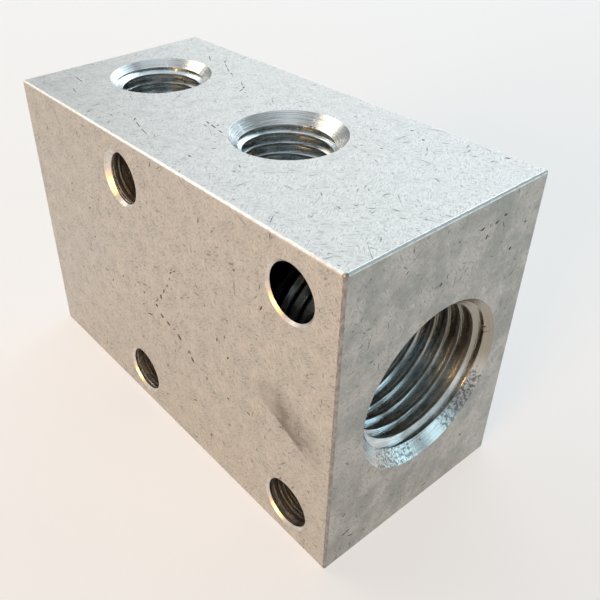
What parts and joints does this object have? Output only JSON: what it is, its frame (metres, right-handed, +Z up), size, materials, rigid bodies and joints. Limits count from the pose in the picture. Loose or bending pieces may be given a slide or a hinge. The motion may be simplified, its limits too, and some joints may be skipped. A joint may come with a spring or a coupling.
{
  "type": "air manifold block",
  "caption": "Rectangular aluminium block that shares air out: a large threaded inlet in the end, smaller threaded outlets in the top, and plain through holes for mounting.",
  "frame": {"origin": "middle of the bottom face, at the centre of the block's outline", "axes": "+X along the length, out of the inlet; +Y from the front face to the back; +Z up, out of the outlets"},
  "size_m": [0.0636, 0.03, 0.042],
  "materials": {
    "aluminium": "tumbled matt, bright machined ports"
  },
  "bodies": {
    "root": {"manifold_block": "aluminium"}
  },
  "joints": []
}
